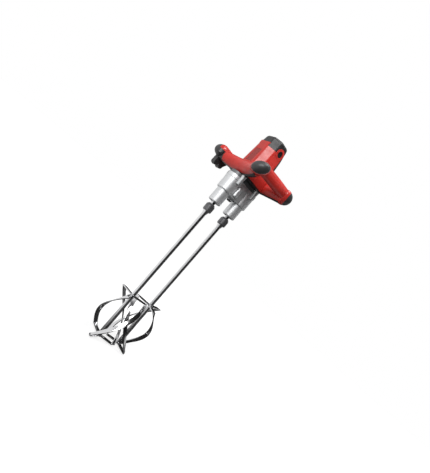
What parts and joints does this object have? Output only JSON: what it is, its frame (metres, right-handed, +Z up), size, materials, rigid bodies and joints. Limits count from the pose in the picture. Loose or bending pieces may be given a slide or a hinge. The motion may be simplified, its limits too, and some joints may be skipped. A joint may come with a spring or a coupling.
{
  "type": "mixing drill",
  "caption": "Hand-held mixing drill: a motor in a closed handle frame drives counter-rotating helical stirrers through a cast gear case, with a sprung trigger under one grip.",
  "frame": {"origin": "on the motor's axis, midway between the two grips and level with the mean height of the handle frame's corners", "axes": "+Z up towards the motor cap, X along the grips and the line of the two spindles with +X towards the cord gland, Y from grip to grip with +Y at the trigger"},
  "size_m": [0.2224, 0.2904, 0.9145],
  "materials": {
    "red_plastic": "satin moulded red plastic",
    "black_plastic": "fine-grained black plastic",
    "black_rubber": "soft matt black rubber",
    "dark_plate": "dark grey coating",
    "cast_aluminium": "fine cast and blasted",
    "bright_steel": "turned and polished",
    "dark_steel": "blackened",
    "bearing_steel": "ground",
    "gear_steel": "hobbed and hardened",
    "lamination_steel": "stacked sheets, varnished",
    "copper": "enamelled wire and copper bars",
    "carbon": "pressed carbon"
  },
  "bodies": {
    "handle_and_case": {"frame_hub": "red_plastic", "frame_arm_front": "red_plastic", "frame_arm_rear": "red_plastic", "frame_base": "black_plastic", "right_grip_upper": "red_plastic", "right_grip_lower": "red_plastic", "left_grip_upper": "red_plastic", "left_grip_lower": "black_plastic", "switch_shroud": "black_plastic", "trigger_pin": "bright_steel", "switch_body": "black_plastic", "motor_housing": "red_plastic", "rear_vent_cover": "black_plastic", "motor_cap": "black_plastic", "stator_core": "lamination_steel", "field_coils": "copper", "brush_holders": "black_plastic", "carbon_brushes": "carbon", "brush_caps": "black_plastic", "rotor_bearing_upper": "bearing_steel", "rotor_bearing_lower": "bearing_steel", "housing_screws": "dark_steel", "gear_plate": "dark_plate", "gear_case": "cast_aluminium", "case_screws": "dark_steel", "case_plug": "black_rubber", "spindle_bearings_upper": "bearing_steel", "spindle_bearings_lower": "bearing_steel", "spindle_seals": "black_rubber", "countershaft_bearings": "bearing_steel", "centre_bearings": "bearing_steel", "idler_pin": "bearing_steel", "cord_gland": "black_rubber", "bumper_front_left": "black_rubber", "bumper_front_right": "black_rubber", "bumper_rear_left": "black_rubber", "bumper_rear_right": "black_rubber"},
    "left_stirrer": {"spindle_left": "bright_steel", "spindle_gear_left": "gear_steel", "coupling_left": "dark_steel", "stirrer_left": "bright_steel", "blades_left": "bright_steel"},
    "right_stirrer": {"spindle_right": "bright_steel", "spindle_gear_right": "gear_steel", "coupling_right": "dark_steel", "stirrer_right": "bright_steel", "blades_right": "bright_steel"},
    "centre_gears": {"centre_shaft": "bearing_steel", "centre_gear": "gear_steel", "centre_pinion": "gear_steel"},
    "idler": {"idler_gear": "gear_steel"},
    "countershaft_gears": {"countershaft": "bearing_steel", "counter_gear": "gear_steel", "counter_pinion": "gear_steel"},
    "rotor": {"rotor_shaft": "bearing_steel", "rotor_core": "lamination_steel", "commutator": "copper", "cooling_fan": "black_plastic", "motor_pinion": "gear_steel"},
    "trigger": {"trigger": "black_plastic"}
  },
  "joints": [
    {"name": "left_spindle_spin", "type": "hinge", "parent": "handle_and_case", "child": "left_stirrer", "pos_m": [-0.045, 0, 0], "axis": [0, 0, 1], "continuous": true},
    {"name": "right_spindle_spin", "type": "hinge", "parent": "handle_and_case", "child": "right_stirrer", "pos_m": [0.045, 0, 0], "axis": [0, 0, 1], "continuous": true},
    {"name": "centre_spin", "type": "hinge", "parent": "handle_and_case", "child": "centre_gears", "pos_m": [0, 0, 0], "axis": [0, 0, 1], "continuous": true},
    {"name": "idler_spin", "type": "hinge", "parent": "handle_and_case", "child": "idler", "pos_m": [0.01986, -0.00756, 0], "axis": [0, 0, 1], "continuous": true},
    {"name": "countershaft_spin", "type": "hinge", "parent": "handle_and_case", "child": "countershaft_gears", "pos_m": [0, 0.025, 0], "axis": [0, 0, 1], "continuous": true},
    {"name": "rotor_spin", "type": "hinge", "parent": "handle_and_case", "child": "rotor", "pos_m": [0, 0, 0], "axis": [0, 0, 1], "continuous": true},
    {"name": "trigger_press", "type": "hinge", "parent": "handle_and_case", "child": "trigger", "pos_m": [-0.02552, 0.116, 0.00258], "axis": [0, 1, 0], "range_deg": [0, 8], "stiffness_Nm_per_rad": 1.5, "springref_deg": -5.73}
  ],
  "couplings": [
    {"joint": "centre_spin", "follows": "left_spindle_spin", "ratio": -1.4},
    {"joint": "idler_spin", "follows": "left_spindle_spin", "ratio": 2},
    {"joint": "right_spindle_spin", "follows": "left_spindle_spin", "ratio": -1},
    {"joint": "countershaft_spin", "follows": "left_spindle_spin", "ratio": 4.2},
    {"joint": "rotor_spin", "follows": "left_spindle_spin", "ratio": -12.6}
  ]
}
